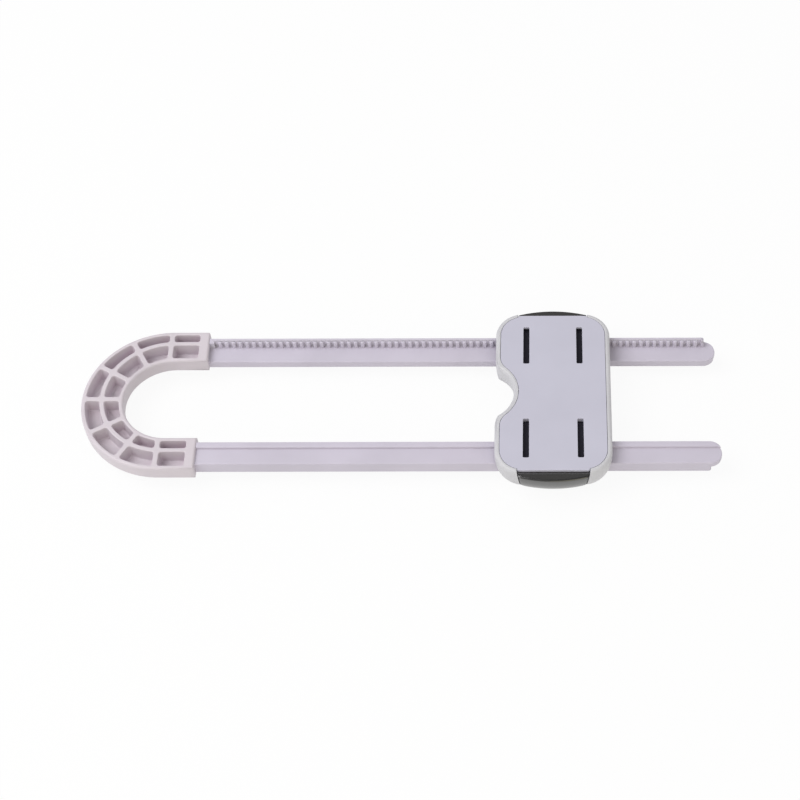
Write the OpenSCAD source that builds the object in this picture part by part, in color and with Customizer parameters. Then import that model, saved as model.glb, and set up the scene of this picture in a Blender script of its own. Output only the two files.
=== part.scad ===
// Sliding cabinet lock: a U-shaped bar goes round two cabinet knobs and a sliding
// lock body closes its open end. Two side buttons free the body from the racks.
// +X runs from the bow to the leg tips, +Z points to the flat back of the lock.

/* [U bar] */
// Overall length, from the bow to the tips of the legs
lock_len = 220; // [200:1:250]
// From the outer face of a leg to the side of the lock body
side_room = 7.5; // [7:0.1:9]
// Width of a leg, across the bar
leg_w = 8.4; // [7.8:0.1:9]
// Thickness of a leg
leg_h = 6; // [5:0.1:6.2]
// Width of the toothed rail on a leg
rail_w = 2.3; // [2:0.1:2.8]
// Height of the toothed rail above the ledge beside it
rail_h = 2.8; // [2.4:0.1:3]
// Step between the bearing strip and the relieved face on a leg's other side
relief_h = 1; // [0.6:0.1:1.2]
// Pitch of the rack teeth
tooth_pitch = 2.4; // [2:0.1:3]
// Depth of the rack teeth
tooth_depth = 0.9; // [0.6:0.1:1.1]
// Length of the tongue that holds a leg in the bow
tongue_len = 2; // [1:0.1:2.2]

/* [Bow] */
// How far the bow reaches beyond the outer faces of the legs
bow_out = 2.7; // [2.2:0.1:4]
// How far the bow reaches inside the inner faces of the legs
bow_in = 1.8; // [1.4:0.1:3]
// How far the centre of the opening lies towards the legs
bow_hole_shift = 1.5; // [0:0.1:3]
// Thickness of the bow
bow_t = 6.6; // [6.4:0.1:8]
// Length of the straight arms of the bow
arm_len = 12.6; // [10:0.2:16]
// Thickness of the outer and inner rims
rim_t = 1.25; // [1:0.05:1.6]
// Floor left under the open cells
cell_floor = 1.5; // [1.2:0.1:2.5]
// Thickness of the radial ribs
rib_t = 1.4; // [1:0.1:2]
// Thickness of the rib that runs along the bow
mid_rib_t = 1.2; // [0.9:0.1:1.6]
// Solid end of an arm, beyond its last cell
arm_end_t = 3.2; // [2.6:0.1:4]
// Rounding of the bow's front edges
bow_front_r = 1.8; // [0.5:0.1:2.2]

/* [Lock body] */
// Length of the lock body along the legs
body_len = 39.8; // [39:0.2:48]
// Width of the lock body across the legs
body_w = 67.6; // [67:0.2:76]
// Thickness of the lock body
body_h = 16; // [16:0.2:18]
// Corner radius of the lock body
body_corner_r = 9.6; // [8:0.2:11]
// Rounding of the front edge all round
front_r = 12.6; // [11.6:0.2:13]
// Wall of the front shell
shell_wall = 1.6; // [1.3:0.1:1.8]
// Rim of the front shell round the back plate
shell_rim = 1.6; // [1.5:0.1:2.6]
// Width of the ledge under the back plate
plate_ledge = 0.8; // [0.5:0.1:1.2]
// Thickness of the back plate
plate_t = 1.8; // [1.4:0.1:2]
// Thickness of the plate's tabs, where they reach over the buttons
tab_t = 1; // [0.8:0.1:1.2]
// How far the tabs stop short of the body's sides
tab_set_back = 1.2; // [0.8:0.1:1.6]
// Depth of the finger notch
notch_depth = 6.4; // [4:0.2:7]
// Radius at the bottom of the finger notch
notch_r = 11.6; // [9:0.2:13]
// Radius of the shoulders of the finger notch
shoulder_r = 7.8; // [6:0.2:8.4]
// Length of each slot in the back plate
slot_len = 15.8; // [10:0.2:17]
// Width of each slot in the back plate
slot_w = 2.1; // [1.5:0.1:3]
// Distance between the two slots of a pair
slot_pitch = 18.5; // [15:0.5:19]
// Rack teeth between the collar and the lock body as it stands
lock_step = 42; // [0:1:42]

/* [Buttons] */
// Width of a button at the back plate
button_w = 23.8; // [22:0.2:26]
// Height of a button's face
button_h = 8.5; // [7:0.1:9]
// How far the middle of a button stands proud of the body
button_crown = 1.7; // [1.2:0.1:3]
// Travel of a button
button_travel = 1.8; // [1.4:0.1:1.9]
// Thickness of the plates that carry the locking teeth
carrier_t = 2; // [1.4:0.1:2.1]
// Locking teeth on a button
pawl_teeth = 5; // [3:1:6]

/* [Springs] */
// Mean radius of a return spring
spring_r = 2.5; // [2:0.1:2.6]
// Wire diameter of a return spring
spring_wire = 0.6; // [0.4:0.05:0.7]
// Turns of a return spring
spring_turns = 7; // [5:1:8]

/* [Hidden] */
$fn = 96;
form_fn = 40;

// Fits
run_gap = 0.3;
slide_gap = 0.4;
seam_gap = 0.12;
button_gap = 0.35;
tooth_gap = 0.12;
seat_gap = 0.05;
stop_gap = 0.5;
over = 1;

// Heights
leg_back_gap = 4.5;
leg_z1 = body_h - leg_back_gap;
leg_z0 = leg_z1 - leg_h;
leg_mid_z = (leg_z0 + leg_z1) / 2;
ledge_z = leg_z1 - rail_h;
bow_back_step = 0.3;
bow_z1 = leg_z1 + bow_back_step;
bow_z0 = bow_z1 - bow_t;
plate_z0 = body_h - plate_t;
carrier_z0 = leg_z1 + slide_gap;
carrier_z1 = min(carrier_z0 + carrier_t, plate_z0 - run_gap);
low_carrier_z1 = leg_z0 - slide_gap;
low_carrier_z0 = low_carrier_z1 - carrier_t;

// Places across the bar
leg_out = body_w / 2 - side_room;
leg_in = leg_out - leg_w;
rack_y = leg_out - rail_w;
bow_r = leg_out + bow_out;
bow_hole_r = leg_in - bow_in;

// Places along the bar
bend_x = bow_r - lock_len / 2;
collar_x = bend_x + arm_len;
tip_x = lock_len / 2;
tip_r = leg_w / 2;
rail_run_on = 0.4;
rail_end_r = 1.2;
rail_end_x = tip_x - tip_r + rail_run_on;
rack_x0 = collar_x + tooth_pitch;
rack_count = floor((rail_end_x - tooth_pitch / 2 - rack_x0) / tooth_pitch) + 1;
body_x = collar_x + stop_gap + body_len / 2 + lock_step * tooth_pitch;

// Rack tooth
tooth_root = tooth_pitch / 4;
tooth_flank = tooth_pitch / 6;

// Bow
rib_count = 5;
rib_step = 30;
rib_set_back = 0.6;
mid_rib_rise = 1.3;
mid_rib_shift = 0.5;
mid_rib_r = (bow_r + bow_hole_r) / 2;
cell_corner_r = 0.9;
arm_corner_r = 1.2;
bow_edge_r = 0.8;
tongue_inset = 1;

// Lock body
body_edge_r = 1.2;
recess_inset = shell_rim;
cavity_inset = shell_rim + plate_ledge;
notch_c = notch_r - notch_depth;
shoulder_y = sqrt(pow(notch_r + shoulder_r, 2) - pow(notch_c + shoulder_r, 2));
slot_set_in = 2.55;
slot_mid_y = (leg_in + leg_out) / 2 - slot_set_in;
slot_end_r = 0.4;
spine_t = 2.4;
peg_r = spring_r - spring_wire / 2 - run_gap;
peg_len = 2;
guide_w = 1.2;
guide_share = 0.6;
guide_x = button_w / 2 * guide_share;

// Width of the back plate's tabs, which close the openings of the buttons
tab_w = button_w + 2 * (button_gap - seam_gap);

// Snap hooks of the back plate
hook_t = 1.2;
hook_w = 3;
hook_len = 5.6;
hook_barb = 0.6;
hook_barb_h = 1.4;
hook_gap = 0.2;
hook_room = 1.5;
hook_x = body_len / 2 - cavity_inset - hook_gap - hook_t;
hook_y = leg_in - run_gap - hook_room - hook_w;

// Buttons
button_taper = 0.8;
button_corner_r = 3;
button_z1 = body_h - tab_t - run_gap;
button_z0 = button_z1 - button_h;
cap_in_y = leg_out + run_gap + button_travel;
tab_relief_y = cap_in_y - button_travel - run_gap;
tab_relief_x = button_w / 2 + button_gap;
crown_r = (pow(button_w / 2, 2) + pow(button_crown, 2)) / (2 * button_crown);
ear_w = 0.8;
slot_cover = 0.7;
carrier_in_y = slot_mid_y - slot_len / 2 - slot_cover;
crossbar_t = 2.7;
crossbar_y1 = leg_in - run_gap;
crossbar_y0 = crossbar_y1 - crossbar_t;
pawl_t = 2.2;
pawl_reach = tooth_depth - tooth_gap;
pawl_step = round((body_x - rack_x0) / tooth_pitch);
pawl_x = rack_x0 + pawl_step * tooth_pitch;
pawl_phase = pawl_teeth % 2 == 0 ? tooth_pitch / 2 : 0;

// Springs
spring_y0 = spine_t / 2 + seat_gap;
spring_y1 = crossbar_y0 - seat_gap;
spring_rings = 8;
spring_sides = 6;
spring_pitch = (spring_y1 - spring_y0 - spring_wire) / spring_turns;
echo(spring_least_gap = spring_pitch - spring_wire);

// Points of an arc in a plane
function arc(cx, cy, r, a0, a1, n = 8) =
    [for (i = [0 : n]) let (a = a0 + (a1 - a0) * i / n) [cx + r * cos(a), cy + r * sin(a)]];

// Turns an outline in Y and Z into a bar along X
module along_x(x0, x1) {
    translate([x0, 0, 0])
        rotate([90, 0, 90])
            linear_extrude(x1 - x0) children();
}

// Turns an outline in X and Z into a bar along Y
module along_y(y0, y1) {
    translate([0, y1, 0])
        rotate([90, 0, 0])
            linear_extrude(y1 - y0) children();
}

module block(x0, x1, y0, y1, z0, z1) {
    translate([x0, y0, z0]) cube([x1 - x0, y1 - y0, z1 - z0]);
}

// What a rounded edge takes off a square corner at the origin
module edge_waste(r) {
    difference() {
        translate([-over, -over]) square(r + over);
        translate([r, r]) circle(r);
    }
}

// Legs

// Outline of a leg's rail seen from the back, with one gap for each rack tooth
function rack_gap(x) =
    [[x - tooth_root / 2 - tooth_flank, rack_y],
     [x - tooth_root / 2, rack_y + tooth_depth],
     [x + tooth_root / 2, rack_y + tooth_depth],
     [x + tooth_root / 2 + tooth_flank, rack_y]];

function rack_edge() =
    [for (i = [0 : rack_count - 1]) each rack_gap(rack_x0 + i * tooth_pitch)];

module leg_rail() {
    difference() {
        translate([0, 0, ledge_z - relief_h])
            linear_extrude(rail_h + relief_h)
                polygon(concat([[rail_end_x, leg_out], [collar_x, leg_out], [collar_x, rack_y]],
                               rack_edge(),
                               [[rail_end_x, rack_y]]));
        translate([rail_end_x, 0, leg_z1])
            along_y(leg_in, leg_out + over) rotate(180) edge_waste(rail_end_r);
    }
}

// Section of a leg below its rail, with the bearing strip on the far face
module leg_base_section() {
    polygon([[leg_in, leg_z0], [leg_in + rail_w, leg_z0], [leg_in + rail_w, leg_z0 + relief_h],
             [leg_out, leg_z0 + relief_h], [leg_out, ledge_z], [leg_in, ledge_z]]);
}

module leg_tongue() {
    block(collar_x - tongue_len, collar_x, leg_in + tongue_inset, leg_out - tongue_inset,
          leg_z0 + relief_h + tongue_inset / 2, leg_z1 - tongue_inset);
}

module leg() {
    intersection() {
        union() {
            along_x(collar_x, tip_x) leg_base_section();
            leg_rail();
        }
        union() {
            block(collar_x, tip_x - tip_r, leg_in, leg_out, leg_z0, leg_z1);
            translate([tip_x - tip_r, leg_in + tip_r, leg_z0]) cylinder(r = tip_r, h = leg_h);
        }
    }
    leg_tongue();
}

// The lower leg is the same moulding turned over
module turned_over() {
    translate([0, 0, 2 * leg_mid_z])
        rotate([180, 0, 0]) children();
}

module upper_leg() {
    color([0.80, 0.78, 0.83]) leg();
}

module lower_leg() {
    color([0.80, 0.78, 0.83]) turned_over() leg();
}

// Bow

// Outline of the bow seen from the back, about the centre of the bend
module bow_outline() {
    difference() {
        union() {
            circle(bow_r);
            polygon(concat([[0, -bow_r]],
                           arc(arm_len - arm_corner_r, arm_corner_r - bow_r, arm_corner_r, -90, 0),
                           arc(arm_len - arm_corner_r, bow_r - arm_corner_r, arm_corner_r, 0, 90),
                           [[0, bow_r]]));
        }
        translate([bow_hole_shift, 0]) circle(bow_hole_r);
        translate([bow_hole_shift, -bow_hole_r])
            square([arm_len - bow_hole_shift + over, 2 * bow_hole_r]);
        translate([arm_len, -bow_r - over]) square([bow_r, 2 * (bow_r + over)]);
    }
}

// Cells of the curved part, between the rims and the ribs
module bend_cells() {
    difference() {
        circle(bow_r - rim_t);
        translate([bow_hole_shift, 0]) circle(bow_hole_r + rim_t);
        translate([-rib_set_back - rib_t / 2, -bow_r]) square([2 * bow_r, 2 * bow_r]);
        translate([mid_rib_shift, mid_rib_rise])
            difference() {
                circle(mid_rib_r + mid_rib_t / 2);
                circle(mid_rib_r - mid_rib_t / 2);
            }
        for (i = [1 : rib_count])
            rotate(90 + i * rib_step)
                translate([0, -rib_t / 2]) square([bow_r, rib_t]);
    }
}

// One cell of a straight arm, from its first rib to the solid end
module arm_cell(y0, y1) {
    x0 = rib_t / 2 - rib_set_back;
    x1 = arm_len - arm_end_t;
    polygon(concat([[x0, y0]],
                   arc(x1 - cell_corner_r, y0 + cell_corner_r, cell_corner_r, -90, 0, 4),
                   arc(x1 - cell_corner_r, y1 - cell_corner_r, cell_corner_r, 0, 90, 4),
                   [[x0, y1]]));
}

module arm_cells() {
    upper_mid = mid_rib_rise + mid_rib_r;
    lower_mid = mid_rib_rise - mid_rib_r;
    half = mid_rib_t / 2;
    cell_in = bow_hole_r + rim_t;
    cell_out = bow_r - rim_t;
    arm_cell(upper_mid + half, cell_out);
    arm_cell(cell_in, upper_mid - half);
    arm_cell(lower_mid + half, -cell_in);
    arm_cell(-cell_out, lower_mid - half);
}

// Waste along the outer and inner edges of one face
module bow_edge_waste(r) {
    rotate([0, 0, 90])
        rotate_extrude(angle = 180)
            translate([bow_r, 0]) mirror([1, 0]) edge_waste(r);
    translate([bow_hole_shift, 0, 0])
        rotate([0, 0, 90])
            rotate_extrude(angle = 180)
                translate([bow_hole_r, 0]) edge_waste(r);
    for (side = [-1, 1])
        scale([1, side, 1]) {
            along_x(0, arm_len + over) translate([bow_r, 0]) mirror([1, 0]) edge_waste(r);
            along_x(bow_hole_shift, arm_len + over) translate([bow_hole_r, 0]) edge_waste(r);
        }
}

module bow() {
    color([0.82, 0.78, 0.82])
        translate([bend_x, 0, 0])
            difference() {
                translate([0, 0, bow_z0]) linear_extrude(bow_t) bow_outline();
                translate([0, 0, bow_z0 + cell_floor]) linear_extrude(bow_t) {
                    bend_cells();
                    arm_cells();
                }
                translate([0, 0, bow_z0]) bow_edge_waste(bow_front_r);
                translate([0, 0, bow_z1]) mirror([0, 0, 1]) bow_edge_waste(bow_edge_r);
                translate([-bend_x, 0, 0]) leg_tongue();
                translate([-bend_x, 0, 0]) turned_over() leg_tongue();
            }
}

// Lock body

// Finger notch in the end that faces the bow, set back into the body by inset
module notch_area(inset) {
    translate([-body_len / 2, 0]) {
        difference() {
            polygon([[-over, shoulder_y], [shoulder_r, shoulder_y], [-notch_c, 0],
                     [shoulder_r, -shoulder_y], [-over, -shoulder_y]]);
            for (side = [-1, 1])
                translate([shoulder_r, side * shoulder_y]) circle(shoulder_r - inset);
        }
        translate([-notch_c, 0]) circle(notch_r + inset);
    }
}

// Outline of the body seen from the back, drawn in by inset
module body_plan(inset) {
    r = body_corner_r - inset;
    x = body_len / 2 - body_corner_r;
    y = body_w / 2 - body_corner_r;
    difference() {
        union() {
            square([2 * x, 2 * (y + r)], center = true);
            square([2 * (x + r), 2 * y], center = true);
            for (side_x = [-1, 1], side_y = [-1, 1])
                translate([side_x * x, side_y * y]) circle(r);
        }
        notch_area(inset);
    }
}

// Half section of the waste at a convex edge that turns about the Z axis
module turned_waste(edge, r) {
    intersection() {
        translate([edge, 0]) mirror([1, 0]) edge_waste(r);
        translate([0, -over]) square([edge + over, r + over]);
    }
}

// What a rounded edge takes off all round the body's outline, drawn in by inset
module outline_waste(inset, r) {
    x = body_len / 2 - body_corner_r;
    y = body_w / 2 - body_corner_r;
    for (side = [0, 1]) {
        mirror([0, side, 0]) {
            along_x(-body_len, body_len) translate([inset - body_w / 2, 0]) edge_waste(r);
            translate([x, y, 0])
                rotate_extrude(angle = 90) turned_waste(body_corner_r - inset, r);
            translate([-x, y, 0]) rotate([0, 0, 90])
                rotate_extrude(angle = 90) turned_waste(body_corner_r - inset, r);
        }
        mirror([side, 0, 0])
            along_y(-body_w, body_w) translate([inset - body_len / 2, 0]) edge_waste(r);
    }
    translate([-body_len / 2 - notch_c, 0, 0])
        rotate_extrude() translate([notch_r + inset, 0]) edge_waste(r);
}

// The pebble shape of the body up to z1, with every wall moved in by inset
module body_form(inset, z1) {
    difference() {
        translate([0, 0, inset]) linear_extrude(z1 - inset) body_plan(inset);
        translate([0, 0, inset]) outline_waste(inset, front_r - inset, $fn = form_fn);
    }
}

module back_edge_waste() {
    translate([0, 0, body_h]) mirror([0, 0, 1]) outline_waste(0, body_edge_r, $fn = form_fn);
}

// Outline of a button's face in X and Z, grown by gap and carried up to top
module button_face(gap, top) {
    slope = button_taper / button_h;
    half_top = button_w / 2 + gap + slope * (top - button_z1);
    half_low = button_w / 2 - button_taper + gap;
    r = button_corner_r;
    z0 = button_z0 - gap;
    polygon(concat([[half_top, top], [-half_top, top], [-half_low, z0 + r]],
                   arc(r - half_low, z0 + r, r, 180, 270),
                   arc(half_low - r, z0 + r, r, 270, 360)));
}

module leg_passages() {
    for (side = [-1, 1])
        scale([1, side, 1])
            block(-body_len, body_len, leg_in - run_gap, leg_out + run_gap,
                  leg_z0 - run_gap, leg_z1 + run_gap);
}

// Room for the buttons behind the two long walls
module button_rooms() {
    half = button_w / 2 + ear_w + slide_gap;
    intersection() {
        body_form(shell_wall, body_h);
        block(-half, half, -body_w, body_w, 0, plate_z0);
    }
}

module button_openings() {
    along_y(-body_w, body_w) button_face(button_gap, body_h + over);
}

// Four places where the hooks of the back plate sit
module at_hooks() {
    for (side_x = [-1, 1], side_y = [-1, 1])
        scale([side_x, side_y, 1]) translate([hook_x, hook_y, 0]) children();
}

module hook_pockets() {
    at_hooks()
        block(0, hook_t + hook_gap + hook_barb + hook_gap, -hook_gap, hook_w + hook_gap,
              plate_z0 - hook_len - hook_gap, plate_z0 - hook_len + hook_barb_h + hook_gap);
}

module spring_peg(y0, len) {
    translate([0, y0, leg_mid_z]) rotate([-90, 0, 0]) cylinder(r = peg_r, h = len);
}

// Spine with its spring pegs, and ribs that the buttons slide on
module shell_inner() {
    spring_peg(-spine_t / 2 - peg_len, spine_t + 2 * peg_len);
    intersection() {
        body_form(shell_wall / 2, plate_z0);
        union() {
            block(-body_len, body_len, -spine_t / 2, spine_t / 2, 0, plate_z0 - body_edge_r);
            for (x = [-guide_x, guide_x])
                block(x - guide_w / 2, x + guide_w / 2, front_r - body_w / 2,
                      body_w / 2 - front_r, 0, low_carrier_z0 - run_gap);
        }
    }
}

module front_shell() {
    color([0.82, 0.82, 0.83])
        translate([body_x, 0, 0]) {
            difference() {
                body_form(0, body_h);
                back_edge_waste();
                translate([0, 0, plate_z0]) linear_extrude(plate_t + over) body_plan(recess_inset);
                intersection() {
                    body_form(shell_wall, body_h + over);
                    linear_extrude(body_h) body_plan(cavity_inset);
                }
                button_rooms();
                difference() {
                    button_openings();
                    block(-body_len, body_len, -cap_in_y, cap_in_y, 0, body_h + 2 * over);
                }
                leg_passages();
                hook_pockets();
            }
            shell_inner();
        }
}

module slot_outline(len, w) {
    x = w / 2 - slot_end_r;
    y = len / 2 - slot_end_r;
    polygon(concat(arc(x, -y, slot_end_r, -90, 0, 4), arc(x, y, slot_end_r, 0, 90, 4),
                   arc(-x, y, slot_end_r, 90, 180, 4), arc(-x, -y, slot_end_r, 180, 270, 4)));
}

module plate_outline() {
    difference() {
        union() {
            body_plan(recess_inset + seam_gap);
            intersection() {
                for (side = [-1, 1])
                    translate([0, side * body_w / 2]) square([tab_w, 2 * leg_w], center = true);
                body_plan(tab_set_back);
            }
        }
        for (x = [-1, 1], y = [-1, 1])
            translate([x * slot_pitch / 2, y * slot_mid_y]) slot_outline(slot_len, slot_w);
    }
}

module hook() {
    block(0, hook_t, 0, hook_w, plate_z0 - hook_len, plate_z0 + seat_gap);
    translate([hook_t, hook_w, plate_z0 - hook_len])
        rotate([90, 0, 0])
            linear_extrude(hook_w) polygon([[0, 0], [hook_barb, hook_barb_h], [0, hook_barb_h]]);
}

module back_plate() {
    color([0.78, 0.78, 0.83])
        translate([body_x, 0, 0]) {
            difference() {
                translate([0, 0, plate_z0]) linear_extrude(plate_t) plate_outline();
                back_edge_waste();
                for (side = [-1, 1])
                    scale([1, side, 1])
                        block(-tab_relief_x, tab_relief_x, tab_relief_y, body_w, 0, body_h - tab_t);
            }
            at_hooks() hook();
        }
}

// Buttons

// Locking teeth that stand in the rack gaps, on a bar that hangs from the carrier
module pawl() {
    x0 = pawl_x - body_x;
    half = pawl_teeth * tooth_pitch / 2;
    root = tooth_root / 2 + tooth_flank - tooth_gap;
    crest = tooth_root / 2 - tooth_gap + tooth_flank * tooth_gap / tooth_depth;
    first = (1 - pawl_teeth) / 2;
    y = rack_y - tooth_gap;
    translate([0, 0, ledge_z + run_gap])
        linear_extrude(carrier_z0 + carrier_t / 2 - ledge_z - run_gap)
            polygon(concat([[x0 + half, y - pawl_t], [x0 - half, y - pawl_t], [x0 - half, y]],
                           [for (i = [0 : pawl_teeth - 1])
                                let (x = x0 + (first + i) * tooth_pitch - pawl_phase)
                                each [[x - root, y], [x - crest, y + pawl_reach],
                                      [x + crest, y + pawl_reach], [x + root, y]]],
                           [[x0 + half, y]]));
}

// Frame that goes round a leg and slides inside the body
module button_frame() {
    half = button_w / 2;
    intersection() {
        union() {
            block(-half, half, carrier_in_y, cap_in_y + over, carrier_z0, carrier_z1);
            block(-half, half, crossbar_y0, cap_in_y + over, low_carrier_z0, low_carrier_z1);
            block(-half, half, crossbar_y0, crossbar_y1, low_carrier_z0, carrier_z1);
            block(-half - ear_w, half + ear_w, cap_in_y, body_w, low_carrier_z0, carrier_z1);
        }
        body_form(shell_wall + run_gap, body_h);
    }
}

// Thumb face: the body's own curve, bowed out in plan by the crown
module button_cap() {
    intersection() {
        along_y(cap_in_y, body_w) button_face(0, button_z1);
        translate([0, body_w / 2 + button_crown - crown_r, 0])
            rotate_extrude($fn = 180) {
                square([crown_r - front_r, body_h]);
                translate([crown_r - front_r, front_r]) circle(front_r);
                translate([crown_r - front_r, front_r]) square([front_r, body_h - front_r]);
            }
    }
}

module button(rack_at_back) {
    union() {
        button_frame();
        button_cap();
        spring_peg(crossbar_y0 - peg_len, peg_len + crossbar_t / 2);
        if (rack_at_back)
            pawl();
        else
            translate([0, 0, 2 * leg_mid_z]) mirror([0, 0, 1]) pawl();
    }
}

module upper_button() {
    color([0.36, 0.35, 0.34]) translate([body_x, 0, 0]) button(true);
}

module lower_button() {
    color([0.36, 0.35, 0.34]) translate([body_x, 0, 0]) mirror([0, 1, 0]) button(false);
}

// Springs

function spring_ring(i) =
    let (turn = i / spring_rings,
         a = 360 * turn,
         y = spring_y0 + spring_wire / 2 + turn * spring_pitch)
    [for (k = [0 : spring_sides - 1])
        let (b = 360 * k / spring_sides,
             r = spring_r + spring_wire / 2 * cos(b))
        [r * cos(a), y + spring_wire / 2 * sin(b), r * sin(a)]];

module spring() {
    last = spring_turns * spring_rings;
    n = spring_sides;
    points = [for (i = [0 : last]) each spring_ring(i)];
    sides = [for (i = [0 : last - 1], k = [0 : n - 1], half = [0, 1])
        let (a = i * n + k, b = i * n + (k + 1) % n)
        half == 0 ? [a, b, b + n] : [a, b + n, a + n]];
    ends = [for (k = [1 : n - 2], e = [0, 1])
        e == 0 ? [0, k + 1, k] : [last * n, last * n + k, last * n + k + 1]];
    translate([body_x, 0, leg_mid_z]) polyhedron(points, concat(sides, ends));
}

module upper_spring() {
    color([0.7, 0.7, 0.72]) spring();
}

module lower_spring() {
    color([0.7, 0.7, 0.72]) mirror([0, 1, 0]) spring();
}

bow();
upper_leg();
lower_leg();
front_shell();
back_plate();
upper_button();
lower_button();
upper_spring();
lower_spring();
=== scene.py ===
"""Cabinet safety lock: the looks of a U-shaped sliding lock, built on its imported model."""
import math

import bmesh
import bpy
from mathutils import Matrix, Quaternion, Vector


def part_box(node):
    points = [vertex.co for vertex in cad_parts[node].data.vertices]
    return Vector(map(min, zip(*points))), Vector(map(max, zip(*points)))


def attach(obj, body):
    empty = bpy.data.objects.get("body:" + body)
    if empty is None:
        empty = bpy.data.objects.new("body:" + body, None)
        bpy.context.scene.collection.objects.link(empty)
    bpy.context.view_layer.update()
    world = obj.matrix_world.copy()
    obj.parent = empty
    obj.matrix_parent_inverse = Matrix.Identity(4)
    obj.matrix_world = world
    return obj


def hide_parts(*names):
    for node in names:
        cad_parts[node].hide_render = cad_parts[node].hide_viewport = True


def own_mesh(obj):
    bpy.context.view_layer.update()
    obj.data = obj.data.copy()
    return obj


bl_info = {
    "name": "Cabinet safety lock",
    "version": (1, 0, 0),
    "blender": (4, 5, 0),
    "location": "3D View > Sidebar > Cabinet lock",
    "description": "Moulded bar, racks, lock body, side buttons and return springs of a sliding cabinet lock",
    "category": "Object",
}

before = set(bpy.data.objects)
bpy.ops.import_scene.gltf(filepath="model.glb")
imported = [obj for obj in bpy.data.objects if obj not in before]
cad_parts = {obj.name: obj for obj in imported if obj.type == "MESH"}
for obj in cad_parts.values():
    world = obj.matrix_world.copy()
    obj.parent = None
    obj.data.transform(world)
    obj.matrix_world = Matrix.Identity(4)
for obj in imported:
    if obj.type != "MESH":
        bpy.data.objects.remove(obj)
BOW_LO, BOW_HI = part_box("bow")
LEG_LO, LEG_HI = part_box("upper_leg")
_, SHELL_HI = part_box("front_shell")
SPRING_LO, SPRING_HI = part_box("upper_spring")
LEG_MID_Z = (LEG_LO.z + LEG_HI.z) / 2
ALONG = Vector((1.0, 0.0, 0.0))
ACROSS = Vector((0.0, 1.0, 0.0))
UP = Vector((0.0, 0.0, 1.0))
WHITE = (1.0, 1.0, 1.0)

# How a mesh is read: lengths in metres, angles in radians, parts of a unit normal
MERGE = 1e-6                      # points nearer than this are one
FLAT_ANGLE = math.radians(0.4)    # faces that differ by less are one face
SHARP = math.radians(60)          # an edge this sharp can be rounded
CREASE = math.radians(50)         # an edge this sharp is not shaded over
CORNER_TURN = math.radians(35)    # an outline that turns this much has a corner
LEVEL = 0.001                     # how far a level face may tilt
UPRIGHT = 0.2                     # how far an upright face may tilt
RUN_LEAST = 0.002                 # shortest edge that counts as running along the bar
MITRE_LEAST = 0.3                 # keeps a mitred corner from shooting out
EDGE_SLACK = 1e-5                 # how far an edge tool stands clear of the faces beside it
TOOTH_BROW = 0.72                 # size of a tooth's top against its section
CLOSED_WIRES = 3.0                # wires of length in a spring's two closed turns and its own thickness

# Surfaces
INSIDE_REACH = 0.0018             # the buttons' inside starts this far beyond the legs; there it is painted in their shade colour, for the shade under the plate's slots
INSIDE_FADE = 0.0006
INSIDE_SPECULAR = 0.12
EDGE_GAIN = 7.0                   # how fast the worn-edge mask rises
PAINTED_SHADE_SPAN = (0.25, 0.95)        # share of hidden sky at which the painted shade of a recess starts and at which it is full
NOISE_SPAN = (0.3, 0.7)           # where nearly all of a noise texture lies
PATCHES_PER_MOTTLE = 3.5
ROUGH_LESS, ROUGH_MORE = 0.05, 0.06
WORN_LESS_ROUGH = 0.10
BUMP_STRENGTH = 0.35
BUTTON_IOR = 1.7
WIRE_ROUGHNESS = 0.28
PLATE_ROUGHER = 0.04
FLOOR_ROUGHNESS, FLOOR_SPECULAR = 0.9, 0.1
FIBRE_SCALE = 900.0
FIBRE_SPAN = (0.98, 1.02)

# Stage, in metres
FLOOR_HALF = 3.0
FLOOR_DEPTH = 0.02
KEY_AT, KEY_SIZE = (-0.60, -0.10, 0.90), 0.9
FILL_AT, FILL_SIZE = (0.35, -0.85, 0.45), 0.8
SENSOR = 36.0
CLIP_NEAR, CLIP_FAR = 0.01, 20.0


# Property groups

def length(name, description, default, low=0.0, high=1.0):
    return bpy.props.FloatProperty(name=name, description=description, default=default, min=low, max=high,
                                   subtype="DISTANCE", unit="LENGTH", precision=5)


def colour(name, description, default):
    return bpy.props.FloatVectorProperty(name=name, description=description, default=(*default, 1.0), size=4,
                                         min=0.0, max=1.0, subtype="COLOR")


def factor(name, description, default, low=0.0, high=1.0):
    return bpy.props.FloatProperty(name=name, description=description, default=default, min=low, max=high,
                                   subtype="FACTOR")


def light_power(name, description, default):
    return bpy.props.FloatProperty(name=name, description=description, default=default, min=0.0, max=100.0,
                                   unit="POWER")


def place(name, description, default):
    return bpy.props.FloatVectorProperty(name=name, description=description, default=default, size=3,
                                         subtype="TRANSLATION", unit="LENGTH", precision=5)


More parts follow.
